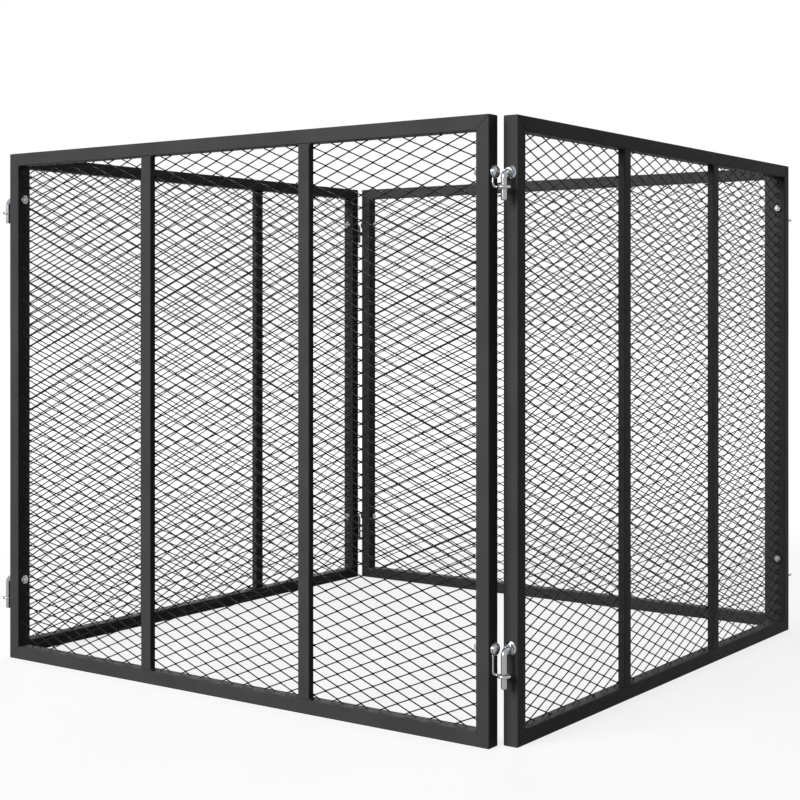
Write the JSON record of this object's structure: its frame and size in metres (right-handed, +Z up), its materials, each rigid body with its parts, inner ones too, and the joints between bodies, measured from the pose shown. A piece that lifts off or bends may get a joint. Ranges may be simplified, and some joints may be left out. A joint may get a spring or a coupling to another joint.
{
  "type": "wire compost bin",
  "caption": "Square open-topped garden bin of framed diamond-mesh panels with upright bars, joined at the corners by hook bolts hanging in eyes.",
  "frame": {"origin": "on the ground in the middle of the bin, midway between the four pin lines", "axes": "+Z up along the panels' height, -Y out of the front panel, +X out of the right panel"},
  "size_m": [0.968, 0.968, 0.813],
  "materials": {
    "frame_paint": "black powder coat, satin",
    "mesh_paint": "black powder coat, satin",
    "zinc": "bright zinc plate"
  },
  "bodies": {
    "back_panel": {"back_bottom_rail": "frame_paint", "back_top_rail": "frame_paint", "back_left_stile": "frame_paint", "back_right_stile": "frame_paint", "back_bar_1": "frame_paint", "back_bar_2": "frame_paint", "back_mesh": "mesh_paint", "back_top_hook_bolt": "zinc", "back_top_hook_nut": "zinc", "back_top_eye": "zinc", "back_top_eye_bolt": "zinc", "back_bottom_hook_bolt": "zinc", "back_bottom_hook_nut": "zinc", "back_bottom_eye": "zinc", "back_bottom_eye_bolt": "zinc"},
    "left_panel": {"left_bottom_rail": "frame_paint", "left_top_rail": "frame_paint", "left_left_stile": "frame_paint", "left_right_stile": "frame_paint", "left_bar_1": "frame_paint", "left_bar_2": "frame_paint", "left_mesh": "mesh_paint", "left_top_hook_bolt": "zinc", "left_top_hook_nut": "zinc", "left_top_eye": "zinc", "left_top_eye_bolt": "zinc", "left_bottom_hook_bolt": "zinc", "left_bottom_hook_nut": "zinc", "left_bottom_eye": "zinc", "left_bottom_eye_bolt": "zinc"},
    "right_panel": {"right_bottom_rail": "frame_paint", "right_top_rail": "frame_paint", "right_left_stile": "frame_paint", "right_right_stile": "frame_paint", "right_bar_1": "frame_paint", "right_bar_2": "frame_paint", "right_mesh": "mesh_paint", "right_top_hook_bolt": "zinc", "right_top_hook_nut": "zinc", "right_top_eye": "zinc", "right_top_eye_bolt": "zinc", "right_bottom_hook_bolt": "zinc", "right_bottom_hook_nut": "zinc", "right_bottom_eye": "zinc", "right_bottom_eye_bolt": "zinc"},
    "front_panel": {"front_bottom_rail": "frame_paint", "front_top_rail": "frame_paint", "front_left_stile": "frame_paint", "front_right_stile": "frame_paint", "front_bar_1": "frame_paint", "front_bar_2": "frame_paint", "front_mesh": "mesh_paint", "front_top_hook_bolt": "zinc", "front_top_hook_nut": "zinc", "front_top_eye": "zinc", "front_top_eye_bolt": "zinc", "front_bottom_hook_bolt": "zinc", "front_bottom_hook_nut": "zinc", "front_bottom_eye": "zinc", "front_bottom_eye_bolt": "zinc"}
  },
  "joints": [
    {"name": "back_left_hinge", "type": "hinge", "parent": "back_panel", "child": "left_panel", "pos_m": [-0.473, 0.473, 0.4065], "axis": [0, 0, 1], "range_deg": [-16, 16]},
    {"name": "back_right_hinge", "type": "hinge", "parent": "back_panel", "child": "right_panel", "pos_m": [0.473, 0.473, 0.4065], "axis": [0, 0, 1], "range_deg": [-16, 16]},
    {"name": "front_left_hinge", "type": "hinge", "parent": "left_panel", "child": "front_panel", "pos_m": [-0.473, -0.473, 0.4065], "axis": [0, 0, 1], "range_deg": [-16, 16]}
  ],
  "couplings": [
    {"joint": "back_right_hinge", "follows": "back_left_hinge", "ratio": 1},
    {"joint": "front_left_hinge", "follows": "back_left_hinge", "ratio": -1}
  ]
}
